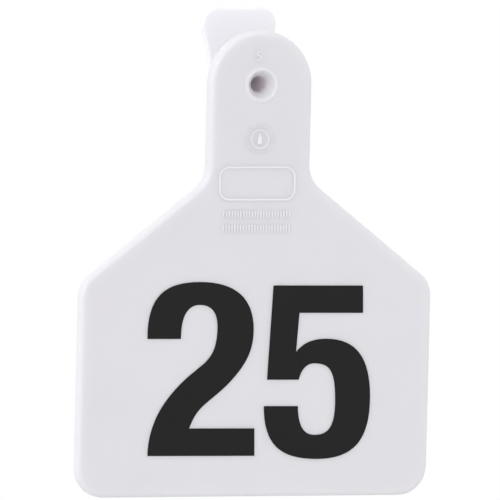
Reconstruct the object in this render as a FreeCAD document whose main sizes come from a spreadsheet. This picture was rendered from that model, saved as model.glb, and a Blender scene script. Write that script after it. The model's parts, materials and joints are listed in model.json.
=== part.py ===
"""One-piece livestock ear tag, moulded in soft polyurethane.

The tag hangs from the ear by a hollow post. In front of the ear is the numbered
panel with its rounded neck. Behind the ear is a head with a flared wing above and
a short tail below, which fold back as they are pushed through and then spring open,
and a hollow point. The applicator's pin goes in through the funnel in the face,
along the post, and bears on the blind end inside the point.

Frame: millimetres, +Z up, the face looks to -Y. The origin is on the post's axis,
half way along the gap where the ear lies.
"""

import FreeCAD
import Part
import math
import os
import Sketcher

# Each line is one driving dimension: its name, its value and what it is.
DIMENSIONS = (
    # the panel and its neck, seen from the front
    ("panel_width", 76.0, "width of the numbered panel"),
    ("drop", 84.2, "post axis down to the bottom edge"),
    ("neck_width", 22.0, "width of the neck, and diameter of its round crown"),
    ("shoulder_drop", 19.4, "post axis down to where neck and shoulder lines cross"),
    ("shoulder_angle", 38.0, "slope of the shoulders below level, degrees"),
    ("neck_radius", 6.2, "hollow corner between neck and shoulder"),
    ("shoulder_radius", 5.6, "outer corner below the shoulder"),
    ("foot_radius", 6.1, "bottom corners"),
    # thickness, seen from the side
    ("neck_thickness", 3.2, "thickness round the post"),
    ("panel_thickness", 2.6, "thickness of the panel"),
    ("ramp_start", 13.0, "post axis down to where the back begins to thin"),
    ("ramp_length", 14.0, "length over which the back thins"),
    ("face_edge_radius", 1.0, "rounding round the front edge"),
    ("back_bevel", 0.4, "bevel round the back edge"),
    # the post and the hole along it
    ("ear_gap", 11.2, "free length of the post, between neck and head"),
    ("post_radius", 3.6, "outside of the post"),
    ("post_flare", 1.4, "fillet where the post leaves the neck"),
    ("post_foot", 0.9, "bevel where the post meets the head"),
    ("bore_radius", 1.7, "hole for the applicator's pin"),
    ("bore_reach", 12.8, "origin to the end of the hole's straight wall"),
    ("bore_cone", 1.0, "depth of the cone that closes the hole"),
    ("mouth_radius", 2.85, "funnel at the face"),
    ("mouth_depth", 2.1, "depth of the funnel"),
    ("mouth_round", 0.7, "rounding where the funnel meets the hole"),
    ("lip_inner", 2.6, "inner radius of the raised lip, before the funnel"),
    ("lip_outer", 3.75, "outer radius of the raised lip"),
    ("lip_curve", 0.95, "radius of the lip's domed section"),
    ("lip_edge_radius", 0.2, "rounding where the lip turns into the funnel"),
    # the winged head and its point
    ("head_rise", 15.4, "post axis up to the end of the flared wing"),
    ("head_waist", 12.2, "width of the head level with the post"),
    ("wing_side_radius", 32.0, "hollow sides of the flared wing"),
    ("wing_end_radius", 70.0, "hollow end of the flared wing"),
    ("wing_corner_radius", 3.5, "corners of the flared wing"),
    ("tail_fall", 8.2, "post axis down to the end of the short tail"),
    ("tail_corner_radius", 5.2, "corners of the short tail"),
    ("head_thickness", 2.0, "thickness at the middle of the head"),
    ("wing_tip_thickness", 1.2, "thickness at the flared wing's end"),
    ("wing_root", 5.6, "post axis up to where the wing begins to thin"),
    ("head_edge_radius", 0.35, "rounding round the side of the head that meets the ear"),
    ("head_bevel", 0.3, "bevel round the far side of the head"),
    ("point_radius", 4.4, "base of the point"),
    ("point_length", 10.4, "length of the point behind the head"),
    ("point_curve", 20.0, "radius of the point's bulging side"),
    ("point_foot", 0.6, "bevel between the head and the point"),
    ("nose_radius", 0.6, "blunt end of the point"),
    ("nose_edge_radius", 0.4, "rounding of the blunt end"),
)

FACE_Y = "(-Dims.ear_gap / 2 - Dims.neck_thickness)"
NECK_BACK_Y = "(-Dims.ear_gap / 2)"
HEAD_FRONT_Y = "(Dims.ear_gap / 2)"
HEAD_BACK_Y = "(Dims.ear_gap / 2 + Dims.head_thickness)"
THROAT_Y = f"({FACE_Y} + Dims.mouth_depth)"
NOSE_Y = f"({HEAD_BACK_Y} + Dims.point_length)"
# How far the post, the point and the lip run into what they stand on, and how far
# a cut starts outside the tag.
OVERLAP = "0.6"
CLEAR = "5"
TOLERANCE = 1e-4
FILLET = "PartDesign::Fillet"
CHAMFER = "PartDesign::Chamfer"


def make_sheet(doc):
    """Writes the driving dimensions into a spreadsheet named Dims."""
    sheet = doc.addObject("Spreadsheet::Sheet", "Dims")
    for row, (alias, value, meaning) in enumerate(DIMENSIONS, start=1):
        sheet.set(f"A{row}", alias)
        sheet.set(f"B{row}", str(value))
        sheet.set(f"C{row}", meaning)
        sheet.setAlias(f"B{row}", alias)
    doc.recompute()


def value_of(obj, expression):
    """The number that an expression on the sheet gives now."""
    return float(obj.evalExpression(expression))


def origin_plane(body, role):
    """One of the body's own origin planes, such as XZ_Plane."""
    return next(f for f in body.Origin.OriginFeatures if f.Role == role)


def new_sketch(body, name, role, offset=None):
    """A sketch on an origin plane, moved along the plane's normal by an expression."""
    sketch = body.newObject("Sketcher::SketchObject", name)
    sketch.AttachmentSupport = [(origin_plane(body, role), "")]
    sketch.MapMode = "FlatFace"
    if offset:
        sketch.setExpression("AttachmentOffset.Base.z", offset)
    body.Document.recompute()
    return sketch


def arc_between(start, end, radius, side):
    """The shorter arc from start to end. Its centre is left (+1) or right (-1) of the way."""
    chord = end - start
    rise = math.sqrt(max(radius**2 - (chord.Length / 2) ** 2, 0.0))
    normal = FreeCAD.Vector(-chord.y, chord.x, 0).normalize()
    centre = (start + end) / 2 + normal * rise * side
    first, last = (start, end) if side > 0 else (end, start)
    begin = math.atan2(first.y - centre.y, first.x - centre.x)
    finish = math.atan2(last.y - centre.y, last.x - centre.x)
    circle = Part.Circle(centre, FreeCAD.Vector(0, 0, 1), radius)
    return Part.ArcOfCircle(circle, begin, finish)


def bind_coordinate(sketch, geometry, end, axis, expression):
    """Ties one coordinate of a segment's end to an expression on the sheet."""
    value = value_of(sketch, expression)
    if abs(value) < TOLERANCE:
        across = -2 if axis == "X" else -1
        sketch.addConstraint(Sketcher.Constraint("PointOnObject", geometry, end, across))
        return
    pair = (-1, 1, geometry, end) if value > 0 else (geometry, end, -1, 1)
    index = sketch.addConstraint(Sketcher.Constraint("Distance" + axis, *pair, abs(value)))
    sign = "" if value > 0 else "-"
    sketch.setExpression(f"Constraints[{index}]", f"{sign}({expression})")


def closed_outline(sketch, corners, arcs=None):
    """Draws a closed outline whose corners and radii follow the sheet.

    corners is a list of pairs of expressions. arcs maps the number of a segment,
    which starts at the corner of that number, to its (radius expression, side).
    """
    arcs = arcs or {}
    points = [FreeCAD.Vector(value_of(sketch, x), value_of(sketch, y), 0) for x, y in corners]
    ends = []
    for number, start in enumerate(points):
        finish = points[(number + 1) % len(points)]
        if number in arcs:
            radius, side = arcs[number]
            curve = arc_between(start, finish, value_of(sketch, radius), side)
            ends.append((1, 2) if side > 0 else (2, 1))
        else:
            curve = Part.LineSegment(start, finish)
            ends.append((1, 2))
        sketch.addGeometry(curve, False)
    for number, (x, y) in enumerate(corners):
        following = (number + 1) % len(corners)
        joint = (number, ends[number][1], following, ends[following][0])
        sketch.addConstraint(Sketcher.Constraint("Coincident", *joint))
        bind_coordinate(sketch, number, ends[number][0], "X", x)
        bind_coordinate(sketch, number, ends[number][0], "Y", y)
        if number in arcs:
            radius = arcs[number][0]
            limit = Sketcher.Constraint("Radius", number, value_of(sketch, radius))
            index = sketch.addConstraint(limit)
            sketch.setExpression(f"Constraints[{index}]", radius)
    sketch.Document.recompute()


def volume_of(body):
    """The body's volume, which is nothing before its first feature."""
    return 0.0 if body.Shape.isNull() else body.Shape.Volume


def checked(feature, before):
    """The feature, once it is known to have worked and to have changed the body."""
    feature.Document.recompute()
    if "Invalid" in feature.State or not feature.Shape.isValid():
        raise RuntimeError(f"{feature.Name}: {feature.getStatusString()}")
    if abs(feature.Shape.Volume - before) < TOLERANCE:
        raise RuntimeError(f"{feature.Name} changed nothing")
    return feature


def pad(body, name, sketch, length):
    """Pads a sketch on an XZ plane towards the back of the tag."""
    before = volume_of(body)
    feature = body.newObject("PartDesign::Pad", name)
    feature.Profile = sketch
    feature.Reversed = True
    feature.setExpression("Length", length)
    return checked(feature, before)


def pocket_across(body, name, sketch):
    """Cuts a side profile right across the tag, on both sides of its middle."""
    before = volume_of(body)
    feature = body.newObject("PartDesign::Pocket", name)
    feature.Profile = sketch
    feature.Midplane = True
    feature.setExpression("Length", f"Dims.panel_width + {CLEAR}")
    return checked(feature, before)


def turned(body, name, sketch, kind):
    """Turns a side profile round the post's axis, as material or as a cut."""
    before = volume_of(body)
    feature = body.newObject(kind, name)
    feature.Profile = sketch
    feature.ReferenceAxis = (sketch, ["H_Axis"])
    feature.Angle = 360
    return checked(feature, before)


def dress_up(body, name, kind, chosen, size):
    """Fillets or chamfers those edges of the last feature for which chosen(edge) is true."""
    base = body.Tip
    before = volume_of(body)
    found = [f"Edge{n}" for n, edge in enumerate(base.Shape.Edges, start=1) if chosen(edge)]
    if not found:
        raise RuntimeError(f"{name} found no edge")
    feature = body.newObject(kind, name)
    feature.Base = (base, found)
    feature.setExpression("Radius" if kind == FILLET else "Size", size)
    return checked(feature, before)


def stands_at(edge, x, z):
    """True for an edge parallel to Y that stands at (x, z) or at (-x, z)."""
    box = edge.BoundBox
    upright = box.XLength < TOLERANCE and box.ZLength < TOLERANCE
    return upright and abs(abs(box.XMin) - x) < TOLERANCE and abs(box.ZMin - z) < TOLERANCE


def is_level(edge, z):
    """True for an edge that runs level at this height."""
    box = edge.BoundBox
    return box.ZLength < TOLERANCE and abs(box.ZMin - z) < TOLERANCE


def lies_in(edge, y):
    """True for an edge that lies in the plane at this depth."""
    box = edge.BoundBox
    return abs(box.YMin - y) < TOLERANCE and abs(box.YMax - y) < TOLERANCE


def is_ring(edge, y, radius):
    """True for a circle round the post's axis with this depth and radius."""
    curve = edge.Curve
    if not isinstance(curve, Part.Circle):
        return False
    off_axis = math.hypot(curve.Center.x, curve.Center.z)
    return off_axis < TOLERANCE and lies_in(edge, y) and abs(curve.Radius - radius) < TOLERANCE


def make_plate(body):
    """The panel with its shoulders, neck and round crown, thinned at the back."""
    half_panel, half_neck = "Dims.panel_width / 2", "Dims.neck_width / 2"
    corner_drop = (
        "-Dims.shoulder_drop - (Dims.panel_width - Dims.neck_width) / 2"
        " * tan(Dims.shoulder_angle * 1 deg)"
    )
    outline = new_sketch(body, "OutlineSketch", "XZ_Plane", f"-{FACE_Y}")
    corners = [
        (half_panel, "-Dims.drop"),
        (half_panel, corner_drop),
        (half_neck, "-Dims.shoulder_drop"),
        (half_neck, "0"),
        ("0", half_neck),
        (f"-{half_neck}", "0"),
        (f"-{half_neck}", "-Dims.shoulder_drop"),
        (f"-{half_panel}", corner_drop),
        (f"-{half_panel}", "-Dims.drop"),
    ]
    closed_outline(outline, corners, {3: (half_neck, 1), 4: (half_neck, 1)})
    pad(body, "PlatePad", outline, "Dims.neck_thickness")

    for name, (x, z), radius in (
        ("NeckCorners", corners[2], "Dims.neck_radius"),
        ("ShoulderCorners", corners[1], "Dims.shoulder_radius"),
        ("FootCorners", corners[0], "Dims.foot_radius"),
    ):
        place = (value_of(outline, x), value_of(outline, z))
        dress_up(body, name, FILLET, lambda edge: stands_at(edge, *place), radius)

    thinned_y = f"({FACE_Y} + Dims.panel_thickness)"
    ramp_end = "(-Dims.ramp_start - Dims.ramp_length)"
    rise = "(Dims.neck_thickness - Dims.panel_thickness)"
    ramp_radius = f"(Dims.ramp_length ^ 2 + {rise} ^ 2) / (4 * {rise})"
    ramp = new_sketch(body, "BackRampSketch", "YZ_Plane")
    closed_outline(
        ramp,
        [
            (NECK_BACK_Y, "-Dims.ramp_start"),
            (f"({NECK_BACK_Y} + {thinned_y}) / 2", f"({ramp_end} - Dims.ramp_start) / 2"),
            (thinned_y, ramp_end),
            (thinned_y, f"-Dims.drop - {CLEAR}"),
            (f"{NECK_BACK_Y} + {CLEAR}", f"-Dims.drop - {CLEAR}"),
            (f"{NECK_BACK_Y} + {CLEAR}", "-Dims.ramp_start"),
        ],
        {0: (ramp_radius, -1), 1: (ramp_radius, 1)},
    )
    pocket_across(body, "BackRamp", ramp)

    face_y = value_of(outline, FACE_Y)
    dress_up(body, "FaceEdge", FILLET, lambda e: lies_in(e, face_y), "Dims.face_edge_radius")
    back = value_of(outline, thinned_y)
    seams = [value_of(outline, f"{ramp_end} + Dims.ramp_length * {part}") for part in (0, 0.5, 1)]

    def rims_back(edge):
        is_seam = any(is_level(edge, z) for z in seams)
        return edge.BoundBox.YMin > back - TOLERANCE and not is_seam

    dress_up(body, "BackEdge", CHAMFER, rims_back, "Dims.back_bevel")


def make_head(body):
    """The head: a flared wing with hollow sides above the post, and a short tail below."""
    half_waist = "Dims.head_waist / 2"
    swing = "(Dims.wing_side_radius - sqrt(Dims.wing_side_radius ^ 2 - Dims.head_rise ^ 2))"
    half_flare = f"({half_waist} + {swing})"
    corners = [
        (half_waist, "-Dims.tail_fall"),
        (half_waist, "0"),
        (half_flare, "Dims.head_rise"),
        (f"-{half_flare}", "Dims.head_rise"),
        (f"-{half_waist}", "0"),
        (f"-{half_waist}", "-Dims.tail_fall"),
    ]
    side, end = ("Dims.wing_side_radius", -1), ("Dims.wing_end_radius", -1)
    outline = new_sketch(body, "HeadSketch", "XZ_Plane", f"-{HEAD_FRONT_Y}")
    closed_outline(outline, corners, {1: side, 2: end, 3: side})
    pad(body, "HeadPad", outline, "Dims.head_thickness")
    for name, (x, z), radius in (
        ("WingCorners", corners[2], "Dims.wing_corner_radius"),
        ("TailCorners", corners[0], "Dims.tail_corner_radius"),
    ):
        place = (value_of(outline, x), value_of(outline, z))
        dress_up(body, name, FILLET, lambda edge: stands_at(edge, *place), radius)

    tip_y = f"({HEAD_FRONT_Y} + Dims.wing_tip_thickness)"
    drop = "(Dims.head_thickness - Dims.wing_tip_thickness)"
    reach = "(Dims.head_rise - Dims.wing_root)"
    taper = new_sketch(body, "WingTaperSketch", "YZ_Plane")
    closed_outline(
        taper,
        [
            (HEAD_BACK_Y, "Dims.wing_root"),
            (tip_y, "Dims.head_rise"),
            (tip_y, f"Dims.head_rise + {CLEAR}"),
            (f"{HEAD_BACK_Y} + {CLEAR}", f"Dims.head_rise + {CLEAR}"),
            (f"{HEAD_BACK_Y} + {CLEAR}", "Dims.wing_root"),
        ],
        {0: (f"({reach} ^ 2 + {drop} ^ 2) / (2 * {drop})", 1)},
    )
    pocket_across(body, "WingTaper", taper)


def make_post(body):
    """The post that passes through the ear, and the point behind the head."""
    post = new_sketch(body, "PostSketch", "YZ_Plane")
    start, finish = f"{NECK_BACK_Y} - {OVERLAP}", f"{HEAD_FRONT_Y} + {OVERLAP}"
    closed_outline(
        post,
        [
            (start, "0"),
            (finish, "0"),
            (finish, "Dims.post_radius"),
            (start, "Dims.post_radius"),
        ],
    )
    turned(body, "Post", post, "PartDesign::Revolution")

    point = new_sketch(body, "PointSketch", "YZ_Plane")
    closed_outline(
        point,
        [
            (f"{HEAD_BACK_Y} - {OVERLAP}", "0"),
            (NOSE_Y, "0"),
            (NOSE_Y, "Dims.nose_radius"),
            (HEAD_BACK_Y, "Dims.point_radius"),
            (f"{HEAD_BACK_Y} - {OVERLAP}", "Dims.point_radius"),
        ],
        {2: ("Dims.point_curve", 1)},
    )
    turned(body, "Point", point, "PartDesign::Revolution")


def make_hole(body):
    """The raised lip, the funnel and the blind hole for the applicator's pin."""
    lip = new_sketch(body, "LipSketch", "YZ_Plane")
    closed_outline(
        lip,
        [
            (FACE_Y, "Dims.lip_inner"),
            (f"{FACE_Y} + {OVERLAP}", "Dims.lip_inner"),
            (f"{FACE_Y} + {OVERLAP}", "Dims.lip_outer"),
            (FACE_Y, "Dims.lip_outer"),
        ],
        {3: ("Dims.lip_curve", 1)},
    )
    turned(body, "Lip", lip, "PartDesign::Revolution")

    slope = "(Dims.mouth_radius - Dims.bore_radius) / Dims.mouth_depth"
    hole = new_sketch(body, "HoleSketch", "YZ_Plane")
    closed_outline(
        hole,
        [
            (f"{FACE_Y} - {CLEAR}", "0"),
            ("Dims.bore_reach + Dims.bore_cone", "0"),
            ("Dims.bore_reach", "Dims.bore_radius"),
            (THROAT_Y, "Dims.bore_radius"),
            (f"{FACE_Y} - {CLEAR}", f"Dims.mouth_radius + {CLEAR} * {slope}"),
        ],
    )
    turned(body, "Hole", hole, "PartDesign::Groove")


def finish_edges(body):
    """Rounds or bevels the head, both ends of the post, the point and the hole's edges."""
    face, neck_back = value_of(body, FACE_Y), value_of(body, NECK_BACK_Y)
    head_front, head_back = value_of(body, HEAD_FRONT_Y), value_of(body, HEAD_BACK_Y)
    throat, nose = value_of(body, THROAT_Y), value_of(body, NOSE_Y)
    tip_back = value_of(body, f"{HEAD_FRONT_Y} + Dims.wing_tip_thickness")
    bore, post = value_of(body, "Dims.bore_radius"), value_of(body, "Dims.post_radius")
    point = value_of(body, "Dims.point_radius")
    nose_radius = value_of(body, "Dims.nose_radius")
    root = value_of(body, "Dims.wing_root")

    def rims_front(edge):
        return lies_in(edge, head_front) and not is_ring(edge, head_front, post)

    def rims_back(edge):
        box = edge.BoundBox
        within = tip_back - TOLERANCE < box.YMin and box.YMax < head_back + TOLERANCE
        return within and not is_ring(edge, head_back, point) and not is_level(edge, root)

    for name, kind, chosen, size in (
        ("HeadFront", FILLET, rims_front, "Dims.head_edge_radius"),
        ("HeadBack", CHAMFER, rims_back, "Dims.head_bevel"),
        ("PostFlare", FILLET, lambda e: is_ring(e, neck_back, post), "Dims.post_flare"),
        ("PostFoot", CHAMFER, lambda e: is_ring(e, head_front, post), "Dims.post_foot"),
        ("PointFoot", CHAMFER, lambda e: is_ring(e, head_back, point), "Dims.point_foot"),
        ("Nose", FILLET, lambda e: is_ring(e, nose, nose_radius), "Dims.nose_edge_radius"),
        ("Throat", FILLET, lambda e: is_ring(e, throat, bore), "Dims.mouth_round"),
        ("LipEdge", FILLET, lambda e: e.BoundBox.YMax < face - TOLERANCE, "Dims.lip_edge_radius"),
    ):
        dress_up(body, name, kind, chosen, size)


def main():
    """Builds the tag as one body and writes its STEP file."""
    doc = FreeCAD.newDocument("EarTag")
    make_sheet(doc)
    body = doc.addObject("PartDesign::Body", "TagBody")
    body.Label = "tag_body"
    doc.recompute()
    make_plate(body)
    make_head(body)
    make_post(body)
    make_hole(body)
    finish_edges(body)
    if len(body.Shape.Solids) != 1:
        raise RuntimeError("the tag is not one solid")
    os.makedirs("parts", exist_ok=True)
    body.Shape.exportStep(f"parts/{body.Label}.step")
    print(f"{body.Label}: {body.Shape.Volume:.0f} mm3, {body.Shape.BoundBox}")


main()
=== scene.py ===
"""Livestock ear tag: the dressed part and its studio."""

import json
import logging
import math
from collections.abc import Callable
from dataclasses import dataclass, field
from enum import Enum

import bpy
from mathutils import Matrix, Vector

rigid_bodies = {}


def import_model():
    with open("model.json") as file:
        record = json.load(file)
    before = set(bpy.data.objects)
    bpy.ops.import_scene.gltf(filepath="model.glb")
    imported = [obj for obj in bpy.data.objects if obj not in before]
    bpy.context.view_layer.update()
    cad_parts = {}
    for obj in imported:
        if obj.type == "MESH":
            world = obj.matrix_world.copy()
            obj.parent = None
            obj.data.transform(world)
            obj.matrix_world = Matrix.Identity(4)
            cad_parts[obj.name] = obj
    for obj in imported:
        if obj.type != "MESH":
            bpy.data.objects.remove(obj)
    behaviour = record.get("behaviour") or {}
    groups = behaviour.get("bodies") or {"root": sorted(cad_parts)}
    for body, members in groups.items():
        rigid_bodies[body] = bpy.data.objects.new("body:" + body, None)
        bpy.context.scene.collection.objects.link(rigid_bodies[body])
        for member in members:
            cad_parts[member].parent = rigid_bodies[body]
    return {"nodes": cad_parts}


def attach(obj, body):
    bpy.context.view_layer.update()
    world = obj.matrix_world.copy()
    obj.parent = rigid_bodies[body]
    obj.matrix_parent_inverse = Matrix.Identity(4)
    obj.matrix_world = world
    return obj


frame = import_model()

LOG = logging.getLogger("ear_tag")
BODY = "root"
MM = 0.001
FRONT = Vector((0.0, -1.0, 0.0))
WHITE = (1.0, 1.0, 1.0, 1.0)

# How closely a face's normal must agree with a direction to count as facing it.
FACING = 0.99
FLAT_FACING = 0.999
# What belongs to the rim of a raised outline, as a share of its rise.
RIM = 0.99
# How far the middle of a raised outline drops from its rim, as a share of its rise.
DROP = 1.2
# Points nearer than this are merged, and edges sharper than this stay crisp.
MERGED_MM = 0.002
CRISP_DEGREES = 35.0
# Straight pieces in each curved stretch of a drawn outline.
CURVE_STEPS = 16


class Slot(Enum):
    """The record's material slots."""

    URETHANE = "white_urethane"
    INK = "black_ink"


@dataclass(frozen=True)
class Knot:
    """One point of a drawn outline, in millimetres, with its handles as offsets from it.

    A handle of None makes that side of the knot straight.
    """

    at: tuple[float, float]
    arrive: tuple[float, float] | None = None
    leave: tuple[float, float] | None = None


def linear(code: str) -> tuple[float, float, float, float]:
    """Turns an sRGB hex colour to linear light.

    Args:
        code: The colour as "#RRGGBB".
    Returns:
        Red, green, blue and an alpha of 1.
    """
    parts = [int(code[i : i + 2], 16) / 255 for i in (1, 3, 5)]
    red, green, blue = (c / 12.92 if c <= 0.04045 else ((c + 0.055) / 1.055) ** 2.4 for c in parts)
    return red, green, blue, 1.0


def add_node(
    tree: bpy.types.NodeTree,
    kind: str,
    inputs: dict[str | int, object] | None = None,
    **settings: object,
) -> bpy.types.Node:
    """Adds one node with its settings, its values and its links.

    Args:
        tree: The tree that the node goes in.
        kind: The node's type, such as "ShaderNodeTexNoise".
        inputs: For each named or numbered input, a value or the socket that feeds it.
        settings: The node's own attributes.
    Returns:
        The node.
    """
    node = tree.nodes.new(kind)
    for name, value in settings.items():
        setattr(node, name, value)
    for name, value in (inputs or {}).items():
        if isinstance(value, bpy.types.NodeSocket):
            tree.links.new(value, node.inputs[name])
        else:
            node.inputs[name].default_value = value
    return node


def new_material(name: str) -> tuple[bpy.types.Material, bpy.types.NodeTree]:
    """Makes an empty node material.

    Args:
        name: The material's name.
    Returns:
        The material and its node tree.
    """
    material = bpy.data.materials.new(name)
    material.use_nodes = True
    material.node_tree.nodes.clear()
    return material, material.node_tree


def let_go() -> None:
    """Deselects every object."""
    for other in bpy.context.view_layer.objects:
        other.select_set(False)


def take(obj: bpy.types.Object) -> bpy.types.Object:
    """Makes an object the only one selected, and the active one.

    Args:
        obj: The object to select.
    Returns:
        The same object.
    """
    let_go()
    obj.select_set(True)
    bpy.context.view_layer.objects.active = obj
    return obj


def settle(obj: bpy.types.Object) -> bpy.types.Object:
    """Puts an object's place, turn and scale into its mesh.

    Args:
        obj: A mesh object.
    Returns:
        The same object, at the origin.
    """
    take(obj)
    bpy.ops.object.transform_apply(location=True, rotation=True, scale=True)
    return obj


def start_at(
    add: Callable[..., set[str]], name: str, place: Vector, **size: object
) -> bpy.types.Object:
    """Adds a primitive at its size and place with nothing else selected.

    Args:
        add: The operator that adds it.
        name: The new object's name.
        place: Its centre.
        size: The operator's own settings.
    Returns:
        The object, settled at the origin.
    """
    let_go()
    add(location=place, **size)
    made = bpy.context.object
    made.name = made.data.name = name
    return settle(made)


def edit_faces(obj: bpy.types.Object, wanted: Callable[[bpy.types.MeshPolygon], bool]) -> None:
    """Opens a mesh in edit mode with only the wanted faces selected.

    Args:
        obj: The mesh object.
        wanted: Says whether a face is selected.
    """
    take(obj)
    mesh = obj.data
    mesh.vertices.foreach_set("select", [False] * len(mesh.vertices))
    mesh.edges.foreach_set("select", [False] * len(mesh.edges))
    mesh.polygons.foreach_set("select", [wanted(face) for face in mesh.polygons])
    bpy.ops.object.mode_set(mode="EDIT")
    bpy.ops.mesh.select_mode(type="FACE")


def edit_edges(obj: bpy.types.Object, wanted: Callable[[Vector, Vector], bool]) -> None:
    """Opens a mesh in edit mode with only the wanted edges selected.

    Args:
        obj: The mesh object.
        wanted: Says from its two ends whether an edge is selected.
    """
    take(obj)
    mesh = obj.data
    mesh.vertices.foreach_set("select", [False] * len(mesh.vertices))
    mesh.polygons.foreach_set("select", [False] * len(mesh.polygons))
    ends = [[mesh.vertices[i].co for i in edge.vertices] for edge in mesh.edges]
    mesh.edges.foreach_set("select", [wanted(*pair) for pair in ends])
    bpy.context.tool_settings.mesh_select_mode = (False, True, False)
    bpy.ops.object.mode_set(mode="EDIT")


def close_up(obj: bpy.types.Object) -> bpy.types.Object:
    """Merges a mesh's doubled points and turns its faces outward.

    Args:
        obj: The mesh object, in object mode.
    Returns:
        The same object.
    """
    edit_faces(obj, lambda face: True)
    bpy.ops.mesh.remove_doubles(threshold=MERGED_MM * MM)
    bpy.ops.mesh.normals_make_consistent(inside=False)
    bpy.ops.object.mode_set(mode="OBJECT")
    bpy.ops.object.shade_smooth_by_angle(angle=math.radians(CRISP_DEGREES))
    return obj


def stand_up(
    obj: bpy.types.Object, place: Vector, across: float = 1.0, turn: float = 0.0
) -> bpy.types.Object:
    """Turns a flat shape drawn in millimetres to face the front, and puts it in its place.

    Args:
        obj: The shape, a mesh drawn in the XY plane.
        place: Where its origin goes.
        across: How much larger it is made in its own plane.
        turn: How far it is turned in its own plane, in radians.
    Returns:
        The same object, settled and closed.
    """
    size = Matrix.Diagonal((across * MM, across * MM, MM, 1.0))
    upright = Matrix.Rotation(math.radians(90), 4, "X")
    obj.matrix_world = Matrix.Translation(place) @ upright @ Matrix.Rotation(turn, 4, "Z") @ size
    return close_up(settle(obj))


def drawn_shape(
    name: str, outline: tuple[Knot, ...], rise: float, edge: float = 0.0
) -> bpy.types.Object:
    """Makes a flat raised shape from a drawn outline.

    Args:
        name: The object's name.
        outline: The outline's knots, in order.
        rise: How far it stands to each side of its own plane, in millimetres.
        edge: The radius of its rounded edges, in millimetres.
    Returns:
        A mesh in the XY plane, in millimetres.
    """
    let_go()
    bpy.ops.curve.primitive_bezier_curve_add()
    drawn = bpy.context.object
    drawn.name = name
    curve = drawn.data
    curve.dimensions, curve.fill_mode = "2D", "BOTH"
    curve.resolution_u = CURVE_STEPS
    curve.extrude, curve.bevel_depth, curve.offset = rise - edge, edge, -edge
    spline = curve.splines[0]
    spline.bezier_points.add(len(outline) - 2)
    spline.use_cyclic_u = True
    for point, knot in zip(spline.bezier_points, outline):
        here = Vector((*knot.at, 0.0))
        point.co = here
        point.handle_left_type = "FREE" if knot.arrive else "VECTOR"
        point.handle_right_type = "FREE" if knot.leave else "VECTOR"
        point.handle_left = here + Vector((*(knot.arrive or (0.0, 0.0)), 0.0))
        point.handle_right = here + Vector((*(knot.leave or (0.0, 0.0)), 0.0))
    take(drawn)
    bpy.ops.object.convert(target="MESH")
    return bpy.context.object


def raised_text(name: str, words: str, height: float, rise: float) -> tuple[bpy.types.Object, float]:
    """Makes raised characters, centred on the origin.

    Args:
        name: The object's name.
        words: The characters.
        height: How tall they stand, in millimetres.
        rise: How far they stand to each side of their own plane, in millimetres.
    Returns:
        A mesh in the XY plane, and how much larger it must be made to have that height.
    """
    let_go()
    bpy.ops.object.text_add()
    made = bpy.context.object
    made.name = name
    made.data.body = words
    made.data.align_x, made.data.align_y = "CENTER", "CENTER"
    made.data.extrude = rise
    take(made)
    bpy.ops.object.convert(target="MESH")
    made = bpy.context.object
    levels = [vertex.co.y for vertex in made.data.vertices]
    middle = (min(levels) + max(levels)) / 2
    made.data.transform(Matrix.Translation((0.0, -middle, 0.0)))
    return made, height / (max(levels) - min(levels))


def joined(name: str, parts: list[bpy.types.Object]) -> bpy.types.Object:
    """Joins several meshes into one piece.

    Args:
        name: The piece's name.
        parts: The meshes.
    Returns:
        The piece.
    """
    take(parts[0])
    for part in parts[1:]:
        part.select_set(True)
    bpy.ops.object.join()
    piece = bpy.context.object
    piece.name = piece.data.name = name
    return piece


def dress(piece: bpy.types.Object, material: bpy.types.Material) -> bpy.types.Object:
    """Gives a piece its finish and the body that it rides on.

    Args:
        piece: The finished piece.
        material: Its material.
    Returns:
        The same piece.
    """
    piece.data.materials.clear()
    piece.data.materials.append(material)
    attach(piece, BODY)
    LOG.info("%s: %d faces", piece.name, len(piece.data.polygons))
    return piece


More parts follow.
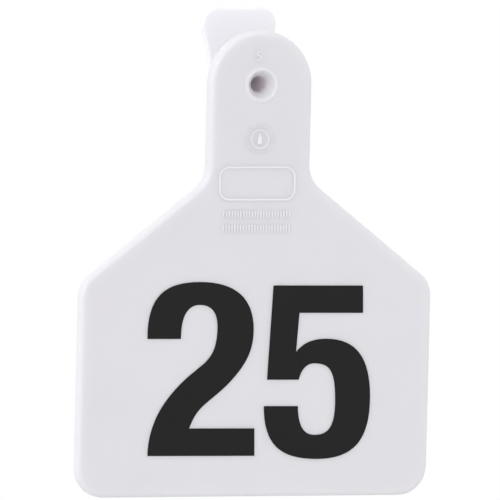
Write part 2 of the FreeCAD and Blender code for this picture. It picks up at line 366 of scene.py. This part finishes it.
@dataclass(frozen=True)
class MouldedUrethane:
    """White thermoplastic polyurethane, injection moulded in a spark-eroded mould.

    To the eye it is a cool, slightly milky satin white. Light soaks a few millimetres into
    it, so thin parts and edges glow. The wing behind the neck is also painted paler, a
    painted glow, and the bore is painted a paler, warmer tint, painted light for what comes
    through its walls, so that deep holes read as a warm mauve grey. The eroded mould leaves
    a fine even grain. The true grain is nearer 0.05 mm, and is drawn coarser so that it
    shows.
    """

    name: str = "moulded_urethane"
    plain_hex: str = "#DCDBDF"
    cloudy_hex: str = "#DFDEE2"
    wing_hex: str = "#EAE9EE"
    hole_hex: str = "#FAF2F5"
    roughness: float = 0.42
    roughness_swing: float = 0.06
    refraction: float = 1.5
    soaked: float = 0.7
    soak_mm: float = 2.5
    soak_tint: tuple[float, float, float] = (1.0, 0.96, 1.0)
    cloud_mm: float = 14.0
    grain_mm: float = 0.45
    grain_depth_mm: float = 0.006
    grain_strength: float = 0.6
    wing_from_mm: tuple[float, float] = (1.0, 5.5)
    hole_radius_mm: tuple[float, float] = (2.1, 1.8)
    hole_depth_mm: tuple[float, float] = (-7.0, -5.5)
    hole_end_mm: tuple[float, float] = (14.2, 13.6)

    def material(self) -> bpy.types.Material:
        """Builds the node material.

        Returns:
            The material.
        """
        material, tree = new_material(self.name)
        place = add_node(tree, "ShaderNodeTexCoord").outputs["Object"]
        grain = add_node(
            tree,
            "ShaderNodeTexNoise",
            {"Vector": place, "Scale": 1 / (self.grain_mm * MM), "Detail": 2.0, "Roughness": 0.5},
        )
        bump = add_node(
            tree,
            "ShaderNodeBump",
            {
                "Strength": self.grain_strength,
                "Distance": self.grain_depth_mm * MM,
                "Height": grain.outputs["Fac"],
            },
        )
        shine = add_node(
            tree,
            "ShaderNodeMapRange",
            {
                "Value": grain.outputs["Fac"],
                "To Min": self.roughness - self.roughness_swing,
                "To Max": self.roughness + self.roughness_swing,
            },
        )
        shader = add_node(
            tree,
            "ShaderNodeBsdfPrincipled",
            {
                "Base Color": self.colour(tree, place),
                "Roughness": shine.outputs["Result"],
                "Normal": bump.outputs["Normal"],
                "IOR": self.refraction,
                "Subsurface Weight": self.soaked,
                "Subsurface Radius": self.soak_tint,
                "Subsurface Scale": self.soak_mm * MM,
            },
        )
        add_node(tree, "ShaderNodeOutputMaterial", {"Surface": shader.outputs["BSDF"]})
        return material

    def colour(self, tree: bpy.types.NodeTree, place: bpy.types.NodeSocket) -> bpy.types.NodeSocket:
        """Adds the nodes for the colour over the whole tag.

        Args:
            tree: The material's tree.
            place: Object coordinates.
        Returns:
            The socket that holds the colour.
        """
        cloud = add_node(
            tree,
            "ShaderNodeTexNoise",
            {"Vector": place, "Scale": 1 / (self.cloud_mm * MM), "Detail": 3.0},
        )
        behind = add_node(tree, "ShaderNodeSeparateXYZ", {"Vector": place}).outputs["Y"]
        # The wing behind the neck is painted paler: a painted glow for the light that comes through
        # and round it.
        wing = self.overlap(tree, ((behind, self.wing_from_mm),))
        across = add_node(
            tree, "ShaderNodeVectorMath", {0: place, 1: (1.0, 0.0, 1.0)}, operation="MULTIPLY"
        )
        reach = add_node(tree, "ShaderNodeVectorMath", {0: across.outputs[0]}, operation="LENGTH")
        # The bore is painted paler and warmer: painted light for what comes through its walls.
        hole = self.overlap(
            tree,
            (
                (reach.outputs["Value"], self.hole_radius_mm),
                (behind, self.hole_depth_mm),
                (behind, self.hole_end_mm),
            ),
        )
        tone: object = linear(self.plain_hex)
        for share, shade in (
            (cloud.outputs["Fac"], self.cloudy_hex),
            (wing, self.wing_hex),
            (hole, self.hole_hex),
        ):
            tone = add_node(
                tree,
                "ShaderNodeMix",
                {"Factor": share, "A": tone, "B": linear(shade)},
                data_type="RGBA",
            ).outputs["Result"]
        return tone

    def overlap(
        self,
        tree: bpy.types.NodeTree,
        steps: tuple[tuple[bpy.types.NodeSocket, tuple[float, float]], ...],
    ) -> bpy.types.NodeSocket:
        """Adds the nodes for where several smooth steps overlap.

        Args:
            tree: The material's tree.
            steps: Lengths in metres, each with where its step starts and ends in millimetres.
        Returns:
            The socket that is 1 where every step has ended and 0 where any has not started.
        """
        share: object = 1.0
        for length, (start, end) in steps:
            step = add_node(
                tree,
                "ShaderNodeMapRange",
                {"Value": length, "From Min": start * MM, "From Max": end * MM},
                interpolation_type="SMOOTHSTEP",
            )
            share = add_node(
                tree, "ShaderNodeMath", {0: share, 1: step.outputs["Result"]}, operation="MULTIPLY"
            ).outputs[0]
        return share


@dataclass(frozen=True)
class MarkingInk:
    """Black pad-printed urethane ink, baked on.

    To the eye it is an even, nearly matt black film with a faint cloudiness. Its grain
    follows that of the plastic under it, and is drawn about as coarse.
    """

    name: str = "marking_ink"
    dense_hex: str = "#1C1C1D"
    worn_hex: str = "#202021"
    roughness: float = 0.5
    refraction: float = 1.45
    gloss: float = 0.15
    cloud_mm: float = 5.0
    grain_mm: float = 0.4
    grain_depth_mm: float = 0.005
    grain_strength: float = 0.5

    def material(self) -> bpy.types.Material:
        """Builds the node material.

        Returns:
            The material.
        """
        material, tree = new_material(self.name)
        place = add_node(tree, "ShaderNodeTexCoord").outputs["Object"]
        cloud = add_node(
            tree,
            "ShaderNodeTexNoise",
            {"Vector": place, "Scale": 1 / (self.cloud_mm * MM), "Detail": 4.0},
        )
        film = add_node(
            tree,
            "ShaderNodeMix",
            {
                "Factor": cloud.outputs["Fac"],
                "A": linear(self.dense_hex),
                "B": linear(self.worn_hex),
            },
            data_type="RGBA",
        )
        grain = add_node(
            tree,
            "ShaderNodeTexNoise",
            {"Vector": place, "Scale": 1 / (self.grain_mm * MM), "Detail": 2.0},
        )
        bump = add_node(
            tree,
            "ShaderNodeBump",
            {
                "Strength": self.grain_strength,
                "Distance": self.grain_depth_mm * MM,
                "Height": grain.outputs["Fac"],
            },
        )
        shader = add_node(
            tree,
            "ShaderNodeBsdfPrincipled",
            {
                "Base Color": film.outputs["Result"],
                "Normal": bump.outputs["Normal"],
                "Roughness": self.roughness,
                "IOR": self.refraction,
                "Specular IOR Level": self.gloss,
            },
        )
        add_node(tree, "ShaderNodeOutputMaterial", {"Surface": shader.outputs["BSDF"]})
        return material


@dataclass
class TagBody:
    """The moulded tag itself, which keeps its solid from the frame."""

    node: str = "tag_body"

    def face_level(self) -> float:
        """Finds how far forward the tag's flat front face lies.

        Returns:
            The face's Y, in metres.
        """
        faces = frame["nodes"][self.node].data.polygons
        front = (face for face in faces if face.normal.dot(FRONT) > FLAT_FACING)
        return max(front, key=lambda face: face.area).center.y

    def dress(self, urethane: bpy.types.Material) -> None:
        """Gives the solid its finish.

        Args:
            urethane: The moulded finish.
        """
        solid = frame["nodes"][self.node]
        solid.data.materials.clear()
        solid.data.materials.append(urethane)
        LOG.info("%s: %d faces", solid.name, len(solid.data.polygons))


# Both figures are drawn from the lower left corner of the first.
TWO = (
    Knot((0.0, 23.85), None, (0.0, 8.9)),
    Knot((11.5, 35.5), (-7.6, 0.0), (7.6, 0.0)),
    Knot((23.0, 25.9), (0.0, 6.3), (0.0, -4.9)),
    Knot((18.25, 15.45), (2.6, 2.8), (-2.2, -2.3)),
    Knot((12.15, 10.25), (2.0, 1.7), (-1.6, -1.4)),
    Knot((9.0, 5.55), (0.8, 1.9), None),
    Knot((23.15, 5.55)),
    Knot((23.15, -0.08)),
    Knot((0.0, -0.08), None, (0.1, 6.4)),
    Knot((6.65, 14.15), (-3.3, -3.3), (2.2, 2.2)),
    Knot((12.55, 19.1), (-2.0, -1.7), (2.0, 1.8)),
    Knot((15.15, 26.4), (0.0, -3.0), (0.0, 2.9)),
    Knot((11.35, 30.8), (2.5, 0.0), (-2.8, 0.0)),
    Knot((7.25, 23.85), (0.0, 4.3), None),
)

FIVE = (
    Knot((27.3, 34.8)),
    Knot((46.75, 34.8)),
    Knot((46.75, 29.2)),
    Knot((32.95, 29.2)),
    Knot((32.2, 21.2), None, (1.5, 1.8)),
    Knot((38.8, 23.9), (-3.1, 0.0), (6.6, 0.0)),
    Knot((48.3, 12.1), (0.0, 7.8), (0.0, -9.0)),
    Knot((36.7, -0.75), (8.0, 0.0), (-8.3, 0.0)),
    Knot((25.2, 10.1), (0.0, -7.7), None),
    Knot((32.6, 10.1), None, (0.0, -3.8)),
    Knot((36.2, 4.2), (-2.5, 0.0), (3.3, 0.0)),
    Knot((40.7, 11.6), (0.0, -5.4), (0.0, 5.6)),
    Knot((36.2, 18.85), (3.4, 0.0), (-2.0, 0.0)),
    Knot((32.8, 15.5), (0.4, 1.7), None),
    Knot((25.9, 15.5)),
)


@dataclass
class PrintedFigures:
    """The two large figures printed on the panel."""

    foot_left: tuple[float, float] = (-22.87, -75.6)
    slant: float = -0.0256
    tilt: float = -0.006
    film: float = 0.04
    outlines: dict[str, tuple[Knot, ...]] = field(
        default_factory=lambda: {"figure_two": TWO, "figure_five": FIVE}
    )

    def build(self, face: float, ink: bpy.types.Material) -> None:
        """Builds both figures on the face.

        Args:
            face: The Y of the tag's front face, in metres.
            ink: The printed finish.
        """
        lean = Matrix(((1, self.slant, 0, 0), (self.tilt, 1, 0, 0), (0, 0, 1, 0), (0, 0, 0, 1)))
        left, foot = self.foot_left
        for name, outline in self.outlines.items():
            figure = drawn_shape(name, outline, self.film)
            figure.data.transform(lean)
            dress(stand_up(figure, Vector((left * MM, face, foot * MM))), ink)


@dataclass
class DateDial:
    """The small moulding-date dial under the hole: a ring, a pointer and twelve numerals."""

    middle: tuple[float, float] = (-0.17, -11.05)
    ring_outer: float = 2.0
    ring_width: float = 0.32
    turn: float = 14.0
    numeral_circle: float = 2.93
    numeral_height: float = 0.78
    relief: float = 0.12
    ring_edge: float = 0.08
    pointer_edge: float = 0.06
    pointer_knots: tuple[Knot, ...] = (
        Knot((0.0, 1.25), (0.12, 0.0), (-0.12, 0.0)),
        Knot((-0.5, -0.55), (0.0, 0.45), (0.0, -0.3)),
        Knot((0.0, -1.1), (-0.3, 0.0), (0.3, 0.0)),
        Knot((0.5, -0.55), (0.0, -0.3), (0.0, 0.45)),
    )

    def build(self, face: float, urethane: bpy.types.Material) -> None:
        """Builds the dial on the face.

        Args:
            face: The Y of the tag's front face, in metres.
            urethane: The moulded finish.
        """
        x, z = self.middle
        centre = Vector((x * MM, face, z * MM))
        dress(self.ring(centre), urethane)
        pointer = drawn_shape(
            "date_pointer", self.pointer_knots, self.relief, self.pointer_edge
        )
        dress(stand_up(pointer, centre), urethane)
        dress(self.numerals(centre), urethane)

    def ring(self, centre: Vector) -> bpy.types.Object:
        """Builds the raised ring.

        Args:
            centre: The dial's middle, on the face.
        Returns:
            The ring.
        """
        rise, outer = self.relief * MM, self.ring_outer * MM
        ring = start_at(
            bpy.ops.mesh.primitive_cylinder_add,
            "date_dial",
            centre,
            vertices=64,
            radius=outer,
            depth=2 * rise,
            rotation=(math.radians(90), 0.0, 0.0),
        )
        edit_faces(ring, lambda face: face.normal.dot(FRONT) > FACING)
        bpy.ops.mesh.inset(thickness=self.ring_width * MM)
        bpy.ops.transform.translate(value=(0.0, DROP * rise, 0.0))
        bpy.ops.object.mode_set(mode="OBJECT")
        top = centre.y - RIM * rise
        edit_edges(ring, lambda a, b: a.y < top and b.y < top)
        bpy.ops.mesh.bevel(offset=self.ring_edge * MM, segments=3)
        bpy.ops.object.mode_set(mode="OBJECT")
        return close_up(ring)

    def numerals(self, centre: Vector) -> bpy.types.Object:
        """Builds the twelve numerals round the ring.

        Args:
            centre: The dial's middle, on the face.
        Returns:
            One piece that holds all twelve.
        """
        made = []
        for hour in range(1, 13):
            angle = math.tau * hour / 12 + math.radians(self.turn)
            away = Vector((math.sin(angle), 0.0, math.cos(angle))) * self.numeral_circle * MM
            name = f"hour_{hour}"
            numeral, larger = raised_text(name, str(hour), self.numeral_height, self.relief)
            made.append(stand_up(numeral, centre + away, across=larger, turn=-angle))
        return joined("date_numerals", made)


@dataclass
class CavityMark:
    """The small raised figure over the hole that tells one mould cavity from the next."""

    middle: tuple[float, float] = (-0.83, 5.96)
    height: float = 2.0
    relief: float = 0.15
    figure: str = "5"

    def build(self, face: float, urethane: bpy.types.Material) -> None:
        """Builds the mark on the face.

        Args:
            face: The Y of the tag's front face, in metres.
            urethane: The moulded finish.
        """
        x, z = self.middle
        mark, larger = raised_text("cavity_number", self.figure, self.height, self.relief)
        stand_up(mark, Vector((x * MM, face, z * MM)), across=larger)
        dress(mark, urethane)


@dataclass
class Cartouche:
    """The blank raised frame on the neck, with two rows of fine upright ribs under it."""

    middle: tuple[float, float] = (-0.5, -20.1)
    width: float = 16.6
    height: float = 7.0
    corner: float = 2.2
    border: float = 0.45
    relief: float = 0.12
    edge: float = 0.07
    rib_width: float = 0.32
    rib_height: float = 1.5
    rib_pitch: float = 0.62
    ribs_in_row: int = 24
    rib_rows: tuple[float, ...] = (-26.4, -29.3)

    def build(self, face: float, urethane: bpy.types.Material) -> None:
        """Builds the frame and the ribs on the face.

        Args:
            face: The Y of the tag's front face, in metres.
            urethane: The moulded finish.
        """
        dress(self.border_frame(face), urethane)
        dress(self.ribs(face), urethane)

    def border_frame(self, face: float) -> bpy.types.Object:
        """Builds the raised frame.

        Args:
            face: The Y of the tag's front face, in metres.
        Returns:
            The frame.
        """
        x, z = self.middle
        rise = self.relief * MM
        made = start_at(
            bpy.ops.mesh.primitive_cube_add,
            "cartouche",
            Vector((x * MM, face, z * MM)),
            size=1.0,
            scale=(self.width * MM, 2 * rise, self.height * MM),
        )
        edit_edges(made, lambda a, b: abs(a.y - b.y) > rise)
        bpy.ops.mesh.bevel(offset=self.corner * MM, segments=8)
        bpy.ops.object.mode_set(mode="OBJECT")
        edit_faces(made, lambda side: side.normal.dot(FRONT) > FACING)
        bpy.ops.mesh.inset(thickness=self.border * MM)
        bpy.ops.transform.translate(value=(0.0, DROP * rise, 0.0))
        bpy.ops.object.mode_set(mode="OBJECT")
        top = face - RIM * rise
        edit_edges(made, lambda a, b: a.y < top and b.y < top)
        bpy.ops.mesh.bevel(offset=self.edge * MM, segments=2)
        bpy.ops.object.mode_set(mode="OBJECT")
        return close_up(made)

    def ribs(self, face: float) -> bpy.types.Object:
        """Builds one rib, repeats it along its row and copies the row.

        Args:
            face: The Y of the tag's front face, in metres.
        Returns:
            One piece that holds every rib.
        """
        first = self.rib_rows[0]
        start = self.middle[0] - self.rib_pitch * (self.ribs_in_row - 1) / 2
        row = start_at(
            bpy.ops.mesh.primitive_cube_add,
            "rib_row",
            Vector((start * MM, face, first * MM)),
            size=1.0,
            scale=(self.rib_width * MM, 2 * self.relief * MM, self.rib_height * MM),
        )
        edit_edges(row, lambda a, b: True)
        bpy.ops.mesh.bevel(offset=self.edge * MM, segments=2)
        bpy.ops.object.mode_set(mode="OBJECT")
        repeat = row.modifiers.new("repeat", "ARRAY")
        repeat.count = self.ribs_in_row
        repeat.use_relative_offset = False
        repeat.use_constant_offset = True
        repeat.constant_offset_displace = (self.rib_pitch * MM, 0.0, 0.0)
        bpy.ops.object.modifier_apply(modifier=repeat.name)
        made = [row]
        for height in self.rib_rows[1:]:
            take(row)
            bpy.ops.object.duplicate()
            copy = bpy.context.object
            copy.location.z = (height - first) * MM
            made.append(settle(copy))
        return close_up(joined("ribs", made))


@dataclass
class Studio:
    """A pale floor, soft light and the camera.

    Distances are in metres and angles in degrees. The lens and the aim are in millimetres.
    """

    azimuth: float = -20.0
    elevation: float = 4.646
    roll: float = 1.403
    distance: float = 4.0
    lens: float = 1413.8
    aim: tuple[float, float, float] = (-1.819, -9.0, -33.667)
    clear_from: float = 0.1
    clear_to: float = 20.0
    floor_level: float = -0.25
    floor_radius: float = 0.5
    floor_border: float = 0.02
    floor_fade: tuple[float, float] = (0.5, 0.95)
    card_hex: str = "#E0E0E0"
    seen_hex: str = "#F0F0F0"
    fill: tuple[float, float] = (0.84, 1.06)
    bright_side: tuple[float, float, float] = (-0.6, 0.3, 0.6)
    lamp_from: tuple[float, float, float] = (-0.75, -0.5, 0.38)
    lamp_strength: float = 0.7
    lamp_spread: float = 25.0

    def build(self) -> None:
        """Builds the floor, the lights and the camera."""
        self.floor()
        self.sky()
        self.lamp()
        self.camera()
        LOG.info("studio: built")

    def floor(self) -> None:
        """Builds the round floor, which fades to white at its rim."""
        disc = start_at(
            bpy.ops.mesh.primitive_circle_add,
            "studio_floor",
            Vector((0.0, 0.0, self.floor_level)),
            vertices=96,
            radius=self.floor_radius,
            fill_type="NGON",
        )
        edit_faces(disc, lambda face: True)
        bpy.ops.mesh.inset(thickness=self.floor_border)
        bpy.ops.object.mode_set(mode="OBJECT")
        disc.data.materials.append(self.floor_finish())

    def floor_finish(self) -> bpy.types.Material:
        """Builds the floor's matt white card.

        Returns:
            The material.
        """
        material, tree = new_material("matt_card")
        place = add_node(tree, "ShaderNodeTexCoord").outputs["Object"]
        flat = add_node(
            tree,
            "ShaderNodeVectorMath",
            {0: place, 1: (1.0, 1.0, 0.0)},
            operation="MULTIPLY",
        )
        reach = add_node(tree, "ShaderNodeVectorMath", {0: flat.outputs[0]}, operation="LENGTH")
        rim = add_node(
            tree,
            "ShaderNodeMapRange",
            {
                "Value": reach.outputs["Value"],
                "From Min": self.floor_fade[0] * self.floor_radius,
                "From Max": self.floor_fade[1] * self.floor_radius,
            },
            interpolation_type="SMOOTHSTEP",
        )
        # The card looks lighter to the camera than to the light that it throws back.
        seen = add_node(tree, "ShaderNodeLightPath").outputs["Is Camera Ray"]
        tone = add_node(
            tree,
            "ShaderNodeMix",
            {"Factor": seen, "A": linear(self.card_hex), "B": linear(self.seen_hex)},
            data_type="RGBA",
        )
        card = add_node(tree, "ShaderNodeBsdfDiffuse", {"Color": tone.outputs["Result"]})
        white = add_node(tree, "ShaderNodeEmission", {"Strength": 1.0})
        blend = add_node(
            tree,
            "ShaderNodeMixShader",
            {0: rim.outputs["Result"], 1: card.outputs[0], 2: white.outputs[0]},
        )
        add_node(tree, "ShaderNodeOutputMaterial", {"Surface": blend.outputs[0]})
        return material

    def sky(self) -> None:
        """Sets the even light round the object, which is seen and mirrored as white."""
        world = bpy.data.worlds.new("studio_sky")
        bpy.context.scene.world = world
        world.use_nodes = True
        tree = world.node_tree
        tree.nodes.clear()
        path = add_node(tree, "ShaderNodeLightPath").outputs
        seen = add_node(
            tree,
            "ShaderNodeMath",
            {0: path["Is Camera Ray"], 1: path["Is Glossy Ray"]},
            operation="MAXIMUM",
        )
        seen = add_node(
            tree,
            "ShaderNodeMath",
            {0: seen.outputs[0], 1: path["Is Transmission Ray"]},
            operation="MAXIMUM",
        )
        toward = add_node(tree, "ShaderNodeTexCoord").outputs["Generated"]
        bright = Vector(self.bright_side).normalized()
        facing = add_node(
            tree, "ShaderNodeVectorMath", {0: toward, 1: bright}, operation="DOT_PRODUCT"
        )
        low, high = self.fill
        shaded = add_node(
            tree,
            "ShaderNodeMapRange",
            {"Value": facing.outputs["Value"], "From Min": -1.0, "To Min": low, "To Max": high},
        )
        level = add_node(
            tree,
            "ShaderNodeMapRange",
            {"Value": seen.outputs[0], "To Min": shaded.outputs["Result"], "To Max": 1.0},
        )
        glow = add_node(
            tree,
            "ShaderNodeBackground",
            {"Color": WHITE, "Strength": level.outputs["Result"]},
        )
        add_node(tree, "ShaderNodeOutputWorld", {"Surface": glow.outputs[0]})

    def lamp(self) -> None:
        """Adds the broad lamp high on the left."""
        data = bpy.data.lights.new("key_lamp", "SUN")
        data.energy = self.lamp_strength
        data.angle = math.radians(self.lamp_spread)
        lamp = bpy.data.objects.new("key_lamp", data)
        bpy.context.scene.collection.objects.link(lamp)
        lamp.rotation_mode = "QUATERNION"
        lamp.rotation_quaternion = Vector(self.lamp_from).to_track_quat("Z", "Y")

    def camera(self) -> None:
        """Adds the camera, a long lens to the object's left that is a little rolled."""
        data = bpy.data.cameras.new("camera")
        data.lens = self.lens
        data.clip_start, data.clip_end = self.clear_from, self.clear_to
        camera = bpy.data.objects.new("camera", data)
        bpy.context.scene.collection.objects.link(camera)
        around, up = math.radians(self.azimuth), math.radians(self.elevation)
        flat = math.cos(up)
        back = Vector((math.sin(around) * flat, -math.cos(around) * flat, math.sin(up)))
        place = Vector(self.aim) * MM + back * self.distance
        level = back.to_track_quat("Z", "Y").to_matrix().to_4x4()
        rolled = Matrix.Rotation(math.radians(self.roll), 4, "Z")
        camera.matrix_world = Matrix.Translation(place) @ level @ rolled
        bpy.context.scene.camera = camera


def main() -> None:
    """Builds and dresses the ear tag in its studio."""
    logging.basicConfig(level=logging.INFO, format="%(name)s: %(message)s")
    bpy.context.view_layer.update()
    urethane = MouldedUrethane().material()
    # The fine relief is painted paler than the tag, a painted highlight on its strokes, and soaks up
    # no light.
    relief = MouldedUrethane(
        name="moulded_relief_painted_highlight", plain_hex="#E9E8EC", cloudy_hex="#ECEBEF", soaked=0.0
    ).material()
    ink = MarkingInk().material()
    body = TagBody()
    body.dress(urethane)
    face = body.face_level()
    PrintedFigures().build(face, ink)
    DateDial().build(face, relief)
    CavityMark().build(face, relief)
    Cartouche().build(face, relief)
    Studio().build()
    bpy.context.scene.view_settings.view_transform = "Standard"


if __name__ == "__main__":
    main()
